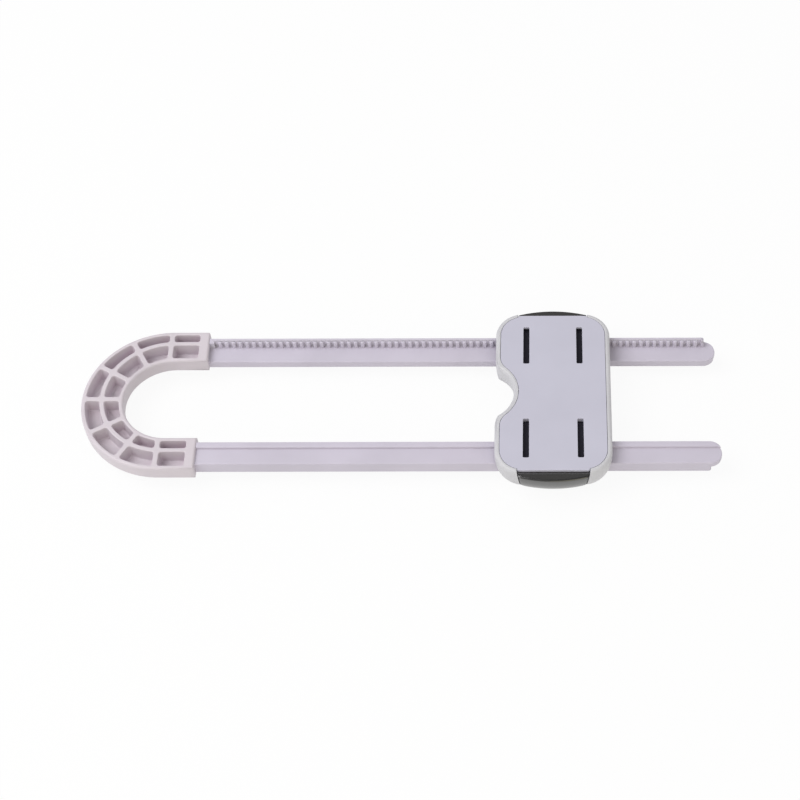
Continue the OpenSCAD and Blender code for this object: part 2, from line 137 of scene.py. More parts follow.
class LockFinishes(bpy.types.PropertyGroup):
    """Colours and surface of the mouldings and the springs"""
    # Each colour is followed by its painted shade, which takes over where the sky is hidden: in cells, tooth
    # gaps, seams, slots and between the spring's turns
    bow: colour("Bow", "Warm pale lilac grey of the bow", (0.65, 0.592, 0.64))
    bow_painted_shade: colour("Bow cells", "Pinker tone down in the open cells of the bow", (0.64, 0.545, 0.605))
    leg: colour("Legs", "Pale lilac grey of the legs", (0.59, 0.55, 0.645))
    leg_painted_shade: colour("Tooth gaps", "Tone between the rack teeth", (0.54, 0.485, 0.55))
    shell: colour("Front shell", "Pale grey of the front shell", (0.60, 0.595, 0.625))
    shell_painted_shade: colour("Shell seams", "Tone in the seams of the shell", (0.40, 0.38, 0.40))
    plate: colour("Back plate", "Pale bluish grey of the back plate", (0.555, 0.545, 0.645))
    plate_painted_shade: colour("Plate slots", "Tone in the slots of the plate", (0.30, 0.29, 0.33))
    button: colour("Buttons", "Dark warm grey of the side buttons", (0.036, 0.0345, 0.033))
    button_painted_shade: colour("Button seams", "Tone in the corners of the buttons", (0.030, 0.0285, 0.041))
    steel: colour("Springs", "Drawn spring wire", (0.55, 0.55, 0.56))
    # Painted shade between the spring's close turns
    steel_painted_shade: colour("Wire shade", "Painted shade between the close turns of the wire", (0.33, 0.33, 0.34))
    roughness: factor("Roughness", "Mean roughness of the moulded plastic", 0.42)
    button_roughness: factor("Button roughness", "Mean roughness of the buttons", 0.20)
    grain_size: length("Grain size", "Size of the fine grain of the mould", 0.00022, 0.00001)
    grain_depth: length("Grain depth", "Depth of the fine grain of the mould", 0.000008)
    mottle_size: length("Mottle size", "Size of the soft uneven areas of the plastic", 0.014, 0.001)
    # How far the painted shade of a recess reaches up its walls
    painted_shade_reach: length("Painted shade reach", "How far a recess darkens its walls", 0.004, 0.0001)
    wear_width: length("Wear width", "Width of the lighter, smoother worn edges", 0.00045, 0.00001)


class LegSizes(bpy.types.PropertyGroup):
    """Sizes of the legs and their racks"""
    tooth_pitch: length("Tooth pitch", "Distance between two rack teeth", 0.0024, 0.0005)
    tooth_depth: length("Tooth depth", "Depth of the gaps between the teeth", 0.0009, 0.0001)
    tooth_crown: length("Tooth crown", "Width of a tooth at its crown", 0.0010, 0.0001)
    tooth_root: length("Tooth root", "Width of a tooth at its root", 0.0018, 0.0001)
    tooth_round: length("Tooth rounding", "Rounding of a tooth's edges", 0.00022)
    rail_width: length("Rail width", "Width of the toothed rail", 0.0023, 0.0005)
    rail_height: length("Rail height", "Height of the toothed rail above its ledge", 0.0028, 0.0005)
    edge_round: length("Edge rounding", "Rounding of the leg's edges", 0.00035)


class BodySizes(bpy.types.PropertyGroup):
    """Edge rounding of the bow, the shell and the plate"""
    collar_round: length("Collar edges", "Rounding of the bow's two ends", 0.0009)
    bow_round: length("Bow edges", "Rounding of the bow's rims and ribs", 0.00033)
    cell_floor: length("Cell floor", "Thickness of the floor under the cells", 0.0015)
    cell_inset: length("Cell inset", "How far a cell's walls stand in from the moulding's own", 0.0002)
    cell_draft: length("Cell draft", "How far a cell narrows towards its floor", 0.00035)
    cell_foot: length("Cell floor edges", "Rounding between a cell's floor and its walls", 0.0005)
    cell_corner: length("Cell corners", "Rounding of a cell's upright corners", 0.0011)
    shell_round: length("Shell edges", "Rounding of the front shell's edges", 0.00014)
    plate_round: length("Plate edges", "Rounding of the back plate's edges", 0.00012)


class SpringSizes(bpy.types.PropertyGroup):
    """Sizes of the return springs"""
    wire: length("Wire", "Diameter of the spring wire", 0.0006, 0.0001)
    turns: bpy.props.IntProperty(name="Turns", description="Turns of a spring, its closed ends among them",
                                 default=8, min=4, max=20)
    steps: bpy.props.IntProperty(name="Steps", description="Segments in one turn", default=28, min=8, max=64)
    travel: length("Travel", "How far a button presses its spring", 0.0018)


class StageSettings(bpy.types.PropertyGroup):
    """Camera, lights and floor"""
    eye: place("Eye", "Where the camera stands", (0.05005, -0.3646, 0.5240))
    aim: place("Aim", "Point on the camera's axis", (0.05005, 0.00307, 0.0061))
    roll: bpy.props.FloatProperty(name="Roll", description="Turn of the camera about its axis, clockwise",
                                  default=0.0024, min=-1.0, max=1.0, subtype="ANGLE", unit="ROTATION")
    lens: bpy.props.FloatProperty(name="Lens", description="Focal length of the camera", default=81.96,
                                  min=20.0, max=300.0, unit="CAMERA")
    shift_x: bpy.props.FloatProperty(name="Shift", description="Sideways shift of the camera's frame",
                                     default=-0.1814, min=-0.5, max=0.5)
    key_power: light_power("Key light", "Power of the soft key light", 6.4)
    fill_power: light_power("Fill light", "Power of the front fill light", 1.35)
    sky: factor("Sky", "Strength of the even light from all round", 0.62, 0.0, 2.0)
    mirrored_sky: factor("Mirrored sky", "Strength of the sky in reflections", 0.15, 0.0, 2.0)
    fill_tint: colour("Fill tint", "Warm tint of the front fill light", (1.0, 0.93, 0.64))
    floor: colour("Floor", "Colour of the floor", (0.86, 0.86, 0.86))
    shadow: factor("Shadow", "Share of the floor's shadow that the camera sees", 0.08)


# Meshes

def add_object(name, mesh):
    """A new object at the origin, with its place in its mesh"""
    piece = bpy.data.objects.new(name, mesh)
    bpy.context.scene.collection.objects.link(piece)
    return piece


def remove_object(piece):
    mesh = piece.data
    bpy.data.objects.remove(piece)
    bpy.data.meshes.remove(mesh)


def merged_copy(node, name):
    """A copy of a CAD node with its loose triangles joined into plain faces"""
    bm = bmesh.new()
    bm.from_mesh(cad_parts[node].data)
    join_triangles(bm)
    mesh = bpy.data.meshes.new(name)
    close_mesh(bm, mesh)
    return add_object(name, mesh)


def open_mesh(piece):
    """A bmesh of the piece's mesh, with its normals up to date"""
    bm = bmesh.new()
    bm.from_mesh(piece.data)
    bm.normal_update()
    return bm


def close_mesh(bm, mesh):
    bm.to_mesh(mesh)
    bm.free()


def join_triangles(bm):
    bmesh.ops.remove_doubles(bm, verts=bm.verts, dist=MERGE)
    bmesh.ops.dissolve_degenerate(bm, edges=bm.edges, dist=MERGE)
    bmesh.ops.dissolve_limit(bm, angle_limit=FLAT_ANGLE, verts=bm.verts, edges=bm.edges)


def apply_modifiers(piece):
    """Turns the evaluated object into a plain mesh and takes its modifiers off"""
    graph = bpy.context.evaluated_depsgraph_get()
    mesh = bpy.data.meshes.new_from_object(piece.evaluated_get(graph), depsgraph=graph)
    piece.modifiers.clear()
    old = piece.data
    piece.data = mesh
    mesh.name = piece.name
    bpy.data.meshes.remove(old)


def is_level(face):
    return abs(face.normal.z) > 1 - LEVEL


def is_upright(face):
    return abs(face.normal.z) < UPRIGHT


def level_edge(edge):
    """Whether the edge lies between a level face and an upright one"""
    one, other = edge.link_faces
    return is_level(one) and is_upright(other) or is_upright(one) and is_level(other)


def run_edge(edge):
    """Whether the edge runs along the bar between two faces of its section"""
    start, end = edge.verts[0].co, edge.verts[1].co
    return abs(start.x - end.x) > RUN_LEAST and abs(start.y - end.y) + abs(start.z - end.z) < MERGE


def outer_edge(edge):
    """Whether the edge is convex and either runs along the bar or bounds a level face"""
    return edge.is_convex and (run_edge(edge) or level_edge(edge))


def round_edges(piece, radius, kind, where, segments=3):
    """Rounds the sharp edges of one kind, those of them whose middle passes the test"""
    bm = open_mesh(piece)
    edges = [edge for edge in bm.edges
             if len(edge.link_faces) == 2 and edge.calc_face_angle() > SHARP and kind(edge)
             and where((edge.verts[0].co + edge.verts[1].co) / 2)]
    if not edges:
        raise RuntimeError(f"{piece.name}: no edge to round")
    bmesh.ops.bevel(bm, geom=edges, offset=radius, offset_type="OFFSET", segments=segments, profile=0.5,
                    affect="EDGES", clamp_overlap=False, loop_slide=True)
    close_mesh(bm, piece.data)


def ordered_loops(edges):
    """The closed loops that these edges form, each a list of vertices in order"""
    left = dict.fromkeys(edges)
    loops = []
    while left:
        edge = next(iter(left))
        del left[edge]
        first, last = edge.verts
        loop = [first, last]
        while True:
            step = next((other for other in loop[-1].link_edges if other in left), None)
            if step is None:
                break
            del left[step]
            vertex = step.other_vert(loop[-1])
            if vertex is first:
                break
            loop.append(vertex)
        loops.append(loop)
    return loops


def spread(places, shift):
    """The places of a closed level outline, moved away from what it encloses"""
    area = sum(a.x * b.y - b.x * a.y for a, b in zip(places, places[1:] + places[:1]))
    side = math.copysign(1.0, area)
    moved = []
    for before, here, after in zip(places[-1:] + places[:-1], places, places[1:] + places[:1]):
        into, out = (here - before).normalized(), (after - here).normalized()
        one = Vector((into.y, -into.x, 0.0)) * side
        other = Vector((out.y, -out.x, 0.0)) * side
        moved.append(here + (one + other) * (shift / max(1.0 + one.dot(other), MITRE_LEAST)))
    return moved


def quarter_turn(radius, rounds):
    """Pairs of run and rise, from the start of a quarter of a circle to its end"""
    turns = [math.pi / 2 * step / rounds for step in range(rounds + 1)]
    return [(radius * (1 - math.cos(turn)), radius * (1 - math.sin(turn))) for turn in turns]


def along_outline(places, start, step, left):
    """The place so far along a closed outline from one of its corners, and the first index past it"""
    here, i = places[start], start
    while True:
        i = (i + step) % len(places)
        stretch = (places[i] - here).length
        if stretch > left:
            return here.lerp(places[i], left / stretch), i
        left -= stretch
        here = places[i]


def rounded_outline(places, radius, rounds=6):
    """A closed level outline with its corners rounded"""
    count = len(places)
    corners = [i for i in range(count)
               if (places[i] - places[i - 1]).angle(places[(i + 1) % count] - places[i]) > CORNER_TURN]
    outline = []
    for corner, following in zip(corners, corners[1:] + corners[:1]):
        start, _ = along_outline(places, corner, -1, radius)
        end, first = along_outline(places, corner, 1, radius)
        inwards = (start + end) / 2 - places[corner]
        centre = places[corner] + inwards * (radius / inwards.length) ** 2
        one, other = start - centre, end - centre
        for step in range(rounds + 1):
            share = step / rounds
            reach = one.length * (1 - share) + other.length * share
            outline.append(centre + one.normalized().slerp(other.normalized(), share) * reach)
        _, last = along_outline(places, following, -1, radius)
        while first != (last + 1) % count:
            outline.append(places[first])
            first = (first + 1) % count
    return outline


def make_pockets_anew(piece, low, high, corner, inset, draft, foot, mouth, rounds=4):
    """Makes the pockets of a piece anew, from their outlines, with sloping walls and rounded edges"""
    bm = open_mesh(piece)
    top = [face for face in bm.faces if is_level(face) and abs(face.calc_center_median().z - high) < MERGE]
    level = set(top)
    loops = ordered_loops([edge for edge in bm.edges if sum(face in level for face in edge.link_faces) == 1])
    outline = max(loops, key=lambda loop: max(vertex.co.x for vertex in loop))
    pockets = [[vertex.co.copy() for vertex in loop] for loop in loops if loop is not outline]
    bmesh.ops.delete(bm, geom=top, context="FACES_ONLY")
    found = {loop[0] for loop in loops if loop is not outline}
    waiting = list(found)
    while waiting:
        for edge in waiting.pop().link_edges:
            for vertex in edge.verts:
                if edge.link_faces and vertex not in found:
                    found.add(vertex)
                    waiting.append(vertex)
    bmesh.ops.delete(bm, geom=[vertex for vertex in bm.verts if vertex in found], context="VERTS")
    edges = [bm.edges.get(pair) for pair in zip(outline, outline[1:] + outline[:1])]
    for places in pockets:
        places = rounded_outline(places, corner)
        steps = [(-inset - draft - run, low - high + rise) for run, rise in reversed(quarter_turn(foot, rounds))]
        steps += [(run - inset, -rise) for run, rise in quarter_turn(mouth, rounds)]
        rings = [[bm.verts.new(place + UP * rise) for place in spread(places, shift)] for shift, rise in steps]
        bm.faces.new(rings[0])
        for lower, upper in zip(rings, rings[1:]):
            for i in range(len(places)):
                j = (i + 1) % len(places)
                bm.faces.new((lower[i], lower[j], upper[j], upper[i]))
        edges += [bm.edges.get(pair) for pair in zip(rings[-1], rings[-1][1:] + rings[-1][:1])]
    bmesh.ops.triangle_fill(bm, use_beauty=True, use_dissolve=False, edges=edges, normal=UP)
    bmesh.ops.delete(bm, geom=[edge for edge in bm.edges if not edge.link_faces], context="EDGES")
    bmesh.ops.recalc_face_normals(bm, faces=bm.faces)
    close_mesh(bm, piece.data)


def edge_tool(corner, along, one, other, radius, reach, steps=6):
    """What rounds a straight convex edge through a corner; one and other point out of its two faces"""
    centre = Vector(corner) - radius * (one + other)
    section = [centre + (one + other) * 2 * radius, centre - one * EDGE_SLACK + other * 2 * radius]
    for step in range(steps + 1):
        turn = math.pi / 2 * step / steps
        section.append(centre + radius * (other * math.cos(turn) + one * math.sin(turn)))
    section[2] -= one * EDGE_SLACK
    section[-1] -= other * EDGE_SLACK
    section.append(centre + one * 2 * radius - other * EDGE_SLACK)
    bm = bmesh.new()
    rings = [[bm.verts.new(point + along * shift) for point in section] for shift in reach]
    for i in range(len(section)):
        j = (i + 1) % len(section)
        bm.faces.new((rings[0][i], rings[0][j], rings[1][j], rings[1][i]))
    for ring in rings:
        bm.faces.new(ring)
    bmesh.ops.recalc_face_normals(bm, faces=bm.faces)
    mesh = bpy.data.meshes.new("edge_tool")
    close_mesh(bm, mesh)
    return add_object("edge_tool", mesh)


def shade_creased(piece):
    piece.data.shade_smooth()
    piece.data.set_sharp_from_angle(angle=CREASE)


def shade_evenly(piece):
    """Smooth shading with sharp creases and even normals on the flat faces"""
    shade_creased(piece)
    even = piece.modifiers.new("Even shading", "WEIGHTED_NORMAL")
    even.keep_sharp = True
    apply_modifiers(piece)


def box_mesh(name, low, high):
    mesh = bpy.data.meshes.new(name)
    bm = bmesh.new()
    bmesh.ops.create_cube(bm, size=1.0)
    size = Vector(high) - Vector(low)
    middle = (Vector(high) + Vector(low)) / 2
    bm.transform(Matrix.Translation(middle) @ Matrix.Diagonal((*size, 1.0)))
    close_mesh(bm, mesh)
    return mesh


def cut(piece, tool):
    """Takes the tool's shape away from the piece"""
    change = piece.modifiers.new("Cut", "BOOLEAN")
    change.operation = "DIFFERENCE"
    change.solver = "EXACT"
    change.object = tool
    apply_modifiers(piece)
    remove_object(tool)
    bm = open_mesh(piece)
    join_triangles(bm)
    close_mesh(bm, piece.data)


def turned_over(piece, name):
    """A copy turned half round the X axis at the middle of the legs, as the lower leg is"""
    mesh = piece.data.copy()
    mesh.name = name
    middle = Matrix.Translation((0.0, 0.0, LEG_MID_Z))
    mesh.transform(middle @ Matrix.Rotation(math.pi, 4, "X") @ middle.inverted())
    return add_object(name, mesh)


def dress(piece, material, body, slot, *nodes):
    """Gives the piece its material and its body's empty as parent, and hides the CAD nodes it replaces"""
    piece.data.materials.clear()
    piece.data.materials.append(bpy.data.materials[material])
    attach(piece, body)
    if nodes:
        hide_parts(*nodes)


# Node trees

def add_node(tree, kind, values=None, **settings):
    node = tree.nodes.new(kind)
    for key, value in settings.items():
        setattr(node, key, value)
    for key, value in (values or {}).items():
        node.inputs[key].default_value = value
    return node


def math_node(tree, operation, a, b=None, clamp=False):
    """A Math node on two sockets or numbers; gives its output socket"""
    node = add_node(tree, "ShaderNodeMath", operation=operation, use_clamp=clamp)
    for place_in, value in zip(node.inputs, (a, b)):
        if isinstance(value, bpy.types.NodeSocket):
            tree.links.new(value, place_in)
        elif value is not None:
            place_in.default_value = value
    return node.outputs[0]


def join_xyz(tree, x=0.0, y=0.0, z=0.0):
    node = add_node(tree, "ShaderNodeCombineXYZ")
    for place_in, value in zip(node.inputs, (x, y, z)):
        if isinstance(value, bpy.types.NodeSocket):
            tree.links.new(value, place_in)
        else:
            place_in.default_value = value
    return node.outputs[0]


def new_tree(name, inputs):
    """A Geometry Nodes tree with named inputs; gives the tree, its inputs and its output"""
    tree = bpy.data.node_groups.new(name, "GeometryNodeTree")
    tree.interface.new_socket("Geometry", in_out="OUTPUT", socket_type="NodeSocketGeometry")
    for socket, kind in inputs.items():
        tree.interface.new_socket(socket, in_out="INPUT", socket_type=kind)
    return tree, tree.nodes.new("NodeGroupInput").outputs, tree.nodes.new("NodeGroupOutput").inputs[0]


def finish_tree(tree, last, given, result):
    """Realizes the last node's instances and sets the given material on them"""
    solid = add_node(tree, "GeometryNodeRealizeInstances")
    tree.links.new(last.outputs[0], solid.inputs[0])
    coat = add_node(tree, "GeometryNodeSetMaterial")
    tree.links.new(solid.outputs[0], coat.inputs["Geometry"])
    tree.links.new(given["Material"], coat.inputs["Material"])
    tree.links.new(coat.outputs[0], result)


def grow(name, tree, values):
    """Runs a Geometry Nodes tree with these input values and gives the result as a plain mesh object"""
    piece = add_object(name, bpy.data.meshes.new(name))
    growth = piece.modifiers.new("Growth", "NODES")
    growth.node_group = tree
    sockets = {item.name: item.identifier for item in tree.interface.items_tree if item.in_out == "INPUT"}
    for socket, value in values.items():
        growth[sockets[socket]] = value
    apply_modifiers(piece)
    if not piece.data.polygons:
        raise RuntimeError(f"{name}: the tree made no faces")
    return piece


def rack_tree():
    """One tapered, rounded tooth, repeated along the rail"""
    length_in = "NodeSocketFloat"
    tree, given, result = new_tree("rack_teeth", {
        "Teeth": "NodeSocketInt", "Pitch": length_in, "First tooth": length_in, "Crown line": length_in,
        "Ledge": length_in, "Depth": length_in, "Rise": length_in, "Crown width": length_in,
        "Root width": length_in, "Rounding": length_in, "Material": "NodeSocketMaterial"})
    link = tree.links.new
    section = add_node(tree, "GeometryNodeCurvePrimitiveQuadrilateral", mode="TRAPEZOID")
    link(given["Depth"], section.inputs["Height"])
    link(given["Root width"], section.inputs["Bottom Width"])
    link(given["Crown width"], section.inputs["Top Width"])
    section.inputs["Offset"].default_value = 0.0
    fillet = add_node(tree, "GeometryNodeFilletCurve", {"Count": 3, "Limit Radius": True}, mode="POLY")
    link(section.outputs[0], fillet.inputs["Curve"])
    link(given["Rounding"], fillet.inputs["Radius"])
    fill = add_node(tree, "GeometryNodeFillCurve", mode="NGONS")
    link(fillet.outputs[0], fill.inputs["Curve"])
    wall = add_node(tree, "GeometryNodeExtrudeMesh", {"Individual": False}, mode="FACES")
    link(fill.outputs[0], wall.inputs["Mesh"])
    link(math_node(tree, "SUBTRACT", given["Rise"], given["Rounding"]), wall.inputs["Offset Scale"])
    brow = add_node(tree, "GeometryNodeExtrudeMesh", {"Individual": False}, mode="FACES")
    link(wall.outputs["Mesh"], brow.inputs["Mesh"])
    link(wall.outputs["Top"], brow.inputs["Selection"])
    link(given["Rounding"], brow.inputs["Offset Scale"])
    taper = add_node(tree, "GeometryNodeScaleElements", {"Scale": TOOTH_BROW}, domain="FACE")
    link(brow.outputs["Mesh"], taper.inputs["Geometry"])
    link(brow.outputs["Top"], taper.inputs["Selection"])
    foot = add_node(tree, "GeometryNodeFlipFaces")
    link(fill.outputs[0], foot.inputs[0])
    tooth = add_node(tree, "GeometryNodeJoinGeometry")
    link(taper.outputs[0], tooth.inputs[0])
    link(foot.outputs[0], tooth.inputs[0])
    closed = add_node(tree, "GeometryNodeMergeByDistance", {"Distance": MERGE})
    link(tooth.outputs[0], closed.inputs["Geometry"])
    turned = add_node(tree, "GeometryNodeTransform", {"Rotation": (0.0, 0.0, math.pi)})
    link(closed.outputs[0], turned.inputs["Geometry"])
    line = add_node(tree, "GeometryNodeMeshLine", mode="OFFSET")
    link(given["Teeth"], line.inputs["Count"])
    middle_y = math_node(tree, "ADD", given["Crown line"], math_node(tree, "MULTIPLY", given["Depth"], 0.5))
    link(join_xyz(tree, given["First tooth"], middle_y, given["Ledge"]), line.inputs["Start Location"])
    link(join_xyz(tree, given["Pitch"]), line.inputs["Offset"])
    row = add_node(tree, "GeometryNodeInstanceOnPoints")
    link(line.outputs[0], row.inputs["Points"])
    link(turned.outputs[0], row.inputs["Instance"])
    finish_tree(tree, row, given, result)
    return tree


def spring_tree():
    """A coil of round wire along Y whose end turns lie closed"""
    length_in = "NodeSocketFloat"
    tree, given, result = new_tree("return_spring", {
        "Turns": "NodeSocketInt", "Steps": "NodeSocketInt", "Radius": length_in, "Wire": length_in,
        "Length": length_in, "Start": "NodeSocketVector", "Material": "NodeSocketMaterial"})
    link = tree.links.new
    coil = add_node(tree, "GeometryNodeCurveSpiral", {"Height": 0.0})
    link(given["Steps"], coil.inputs["Resolution"])
    link(given["Turns"], coil.inputs["Rotations"])
    link(given["Radius"], coil.inputs["Start Radius"])
    link(given["Radius"], coil.inputs["End Radius"])
    along = add_node(tree, "GeometryNodeSplineParameter")
    turn = math_node(tree, "MULTIPLY", along.outputs["Factor"], given["Turns"])
    first = math_node(tree, "MINIMUM", turn, 1.0)
    last = math_node(tree, "SUBTRACT", turn, math_node(tree, "SUBTRACT", given["Turns"], 1.0), clamp=True)
    open_turns = math_node(tree, "SUBTRACT", given["Turns"], 2.0)
    middle = math_node(tree, "MINIMUM", math_node(tree, "MAXIMUM", math_node(tree, "SUBTRACT", turn, 1.0), 0.0),
                       open_turns)
    closed = math_node(tree, "MULTIPLY", given["Wire"], CLOSED_WIRES)
    free = math_node(tree, "SUBTRACT", given["Length"], closed)
    rise = math_node(tree, "MULTIPLY", math_node(tree, "ADD", first, last), given["Wire"])
    rise = math_node(tree, "ADD", rise, math_node(tree, "MULTIPLY", middle,
                                                  math_node(tree, "DIVIDE", free, open_turns)))
    rise = math_node(tree, "ADD", rise, math_node(tree, "MULTIPLY", given["Wire"], 0.5))
    stretch = add_node(tree, "GeometryNodeSetPosition")
    link(coil.outputs[0], stretch.inputs["Geometry"])
    link(join_xyz(tree, z=rise), stretch.inputs["Offset"])
    wire = add_node(tree, "GeometryNodeCurvePrimitiveCircle", {"Resolution": 10})
    link(math_node(tree, "MULTIPLY", given["Wire"], 0.5), wire.inputs["Radius"])
    tube = add_node(tree, "GeometryNodeCurveToMesh", {"Fill Caps": True})
    link(stretch.outputs[0], tube.inputs["Curve"])
    link(wire.outputs[0], tube.inputs["Profile Curve"])
    turned = add_node(tree, "GeometryNodeTransform", {"Rotation": (-math.pi / 2, 0.0, 0.0)})
    link(tube.outputs[0], turned.inputs["Geometry"])
    link(given["Start"], turned.inputs["Translation"])
    finish_tree(tree, turned, given, result)
    return tree


# Materials

def new_group(name, inputs, outputs):
    """A shader node group; gives the group, its input sockets and its output node's sockets"""
    group = bpy.data.node_groups.new(name, "ShaderNodeTree")
    for socket, (kind, default) in inputs.items():
        item = group.interface.new_socket(socket, in_out="INPUT", socket_type=kind)
        if default is not None:
            item.default_value = default
    for socket, kind in outputs.items():
        group.interface.new_socket(socket, in_out="OUTPUT", socket_type=kind)
    return group, group.nodes.new("NodeGroupInput").outputs, group.nodes.new("NodeGroupOutput").inputs


def grain_group():
    """Fine grain of the mould and soft uneven areas"""
    group, given, result = new_group("mould_grain", {
        "Vector": ("NodeSocketVector", None), "Grain size": ("NodeSocketFloat", 0.0002),
        "Mottle size": ("NodeSocketFloat", 0.014)},
        {"Height": "NodeSocketFloat", "Mottle": "NodeSocketFloat", "Patches": "NodeSocketFloat"})
    link = group.links.new
    fine = add_node(group, "ShaderNodeTexNoise", {"Detail": 3.0, "Roughness": 0.55})
    link(given["Vector"], fine.inputs["Vector"])
    link(math_node(group, "DIVIDE", 1.0, given["Grain size"]), fine.inputs["Scale"])
    link(fine.outputs["Fac"], result["Height"])
    soft = add_node(group, "ShaderNodeTexNoise", {"Detail": 2.0, "Roughness": 0.5})
    link(given["Vector"], soft.inputs["Vector"])
    link(math_node(group, "DIVIDE", 1.0, given["Mottle size"]), soft.inputs["Scale"])
    link(soft.outputs["Fac"], result["Mottle"])
    patch = add_node(group, "ShaderNodeTexNoise", {"Detail": 4.0, "Roughness": 0.6, "Distortion": 0.4})
    link(given["Vector"], patch.inputs["Vector"])
    link(math_node(group, "DIVIDE", PATCHES_PER_MOTTLE, given["Mottle size"]), patch.inputs["Scale"])
    link(patch.outputs["Fac"], result["Patches"])
    return group


def wear_and_shade_group():
    """Masks for worn edges and for painted shade in closed corners"""
    group, given, result = new_group("edge_wear_and_painted_shade", {
        "Wear width": ("NodeSocketFloat", 0.0004), "Painted shade reach": ("NodeSocketFloat", 0.004),
        "Patches": ("NodeSocketFloat", 0.5)},
        {"Edge": "NodeSocketFloat", "Painted shade": "NodeSocketFloat"})
    link = group.links.new
    rounded = add_node(group, "ShaderNodeBevel", samples=6)
    link(given["Wear width"], rounded.inputs["Radius"])
    plain = add_node(group, "ShaderNodeNewGeometry")
    facing = add_node(group, "ShaderNodeVectorMath", operation="DOT_PRODUCT")
    link(rounded.outputs[0], facing.inputs[0])
    link(plain.outputs["Normal"], facing.inputs[1])
    turned = math_node(group, "MULTIPLY", math_node(group, "SUBTRACT", 1.0, facing.outputs["Value"]), EDGE_GAIN,
                       clamp=True)
    link(math_node(group, "MULTIPLY", turned, given["Patches"]), result["Edge"])
    # Painted shade: where the sky is hidden within the reach, in corners and recesses, this mask darkens the
    # colour
    corner = add_node(group, "ShaderNodeAmbientOcclusion", samples=8, only_local=True)
    link(given["Painted shade reach"], corner.inputs["Distance"])
    hidden = math_node(group, "SUBTRACT", 1.0, corner.outputs["AO"])
    deep = add_node(group, "ShaderNodeMapRange", {"From Min": PAINTED_SHADE_SPAN[0], "From Max": PAINTED_SHADE_SPAN[1]})
    link(hidden, deep.inputs["Value"])
    link(deep.outputs[0], result["Painted shade"])
    return group


def surface(name, base, painted_shade, finishes, roughness, metallic=0.0, specular=0.5, ior=1.5, mottling=0.035,
            wear=0.10, inside=None):
    """A moulded or drawn surface: base colour, painted shade in recesses, mottling, grain and worn edges

    Nearer than inside to the middle of the lock, all of the surface has the painted shade colour.
    """
    material = bpy.data.materials.new(name)
    material.use_nodes = True
    tree = material.node_tree
    link = tree.links.new
    shader = tree.nodes["Principled BSDF"]
    shader.inputs["Metallic"].default_value = metallic
    shader.inputs["Specular IOR Level"].default_value = specular
    shader.inputs["IOR"].default_value = ior
    where = add_node(tree, "ShaderNodeTexCoord")
    grain = add_node(tree, "ShaderNodeGroup", node_tree=bpy.data.node_groups["mould_grain"])
    grain.inputs["Grain size"].default_value = finishes.grain_size
    grain.inputs["Mottle size"].default_value = finishes.mottle_size
    link(where.outputs["Object"], grain.inputs["Vector"])
    marks = add_node(tree, "ShaderNodeGroup", node_tree=bpy.data.node_groups["edge_wear_and_painted_shade"])
    marks.inputs["Wear width"].default_value = finishes.wear_width
    marks.inputs["Painted shade reach"].default_value = finishes.painted_shade_reach
    link(grain.outputs["Patches"], marks.inputs["Patches"])
    # Painted shade: the shade colour takes over where the sky is hidden
    tint = add_node(tree, "ShaderNodeMix", data_type="RGBA")
    tint.inputs["A"].default_value = base
    tint.inputs["B"].default_value = painted_shade
    link(marks.outputs["Painted shade"], tint.inputs["Factor"])
    # Painted shade: nearer than inside to the middle, the surface takes the shade colour fully and is less
    # specular
    if inside is not None:
        axes = add_node(tree, "ShaderNodeSeparateXYZ")
        link(where.outputs["Object"], axes.inputs[0])
        across = math_node(tree, "ABSOLUTE", axes.outputs["Y"])
        deep = add_node(tree, "ShaderNodeMapRange", {"From Min": inside, "From Max": inside + INSIDE_FADE,
                                                     "To Min": 1.0, "To Max": 0.0})
        link(across, deep.inputs["Value"])
        link(math_node(tree, "MAXIMUM", marks.outputs["Painted shade"], deep.outputs[0]), tint.inputs["Factor"])
        sheen = add_node(tree, "ShaderNodeMapRange", {"To Min": specular, "To Max": INSIDE_SPECULAR})
        link(deep.outputs[0], sheen.inputs["Value"])
        link(sheen.outputs[0], shader.inputs["Specular IOR Level"])
    uneven = add_node(tree, "ShaderNodeMapRange", {"From Min": NOISE_SPAN[0], "From Max": NOISE_SPAN[1],
                                                   "To Min": 1.0 - mottling, "To Max": 1.0 + mottling})
    link(grain.outputs["Mottle"], uneven.inputs["Value"])
    lighter = math_node(tree, "ADD", uneven.outputs[0], math_node(tree, "MULTIPLY", marks.outputs["Edge"], wear))
    toned = add_node(tree, "ShaderNodeVectorMath", operation="SCALE")
    link(tint.outputs["Result"], toned.inputs[0])
    link(lighter, toned.inputs["Scale"])
    link(toned.outputs[0], shader.inputs["Base Color"])
    rough = add_node(tree, "ShaderNodeMapRange", {"From Min": NOISE_SPAN[0], "From Max": NOISE_SPAN[1],
                                                  "To Min": roughness - ROUGH_LESS,
                                                  "To Max": roughness + ROUGH_MORE})
    link(grain.outputs["Patches"], rough.inputs["Value"])
    smoother = math_node(tree, "SUBTRACT", rough.outputs[0],
                         math_node(tree, "MULTIPLY", marks.outputs["Edge"], WORN_LESS_ROUGH), clamp=True)
    link(smoother, shader.inputs["Roughness"])
    bump = add_node(tree, "ShaderNodeBump", {"Strength": BUMP_STRENGTH, "Distance": finishes.grain_depth})
    link(grain.outputs["Height"], bump.inputs["Height"])
    link(bump.outputs[0], shader.inputs["Normal"])
    return material


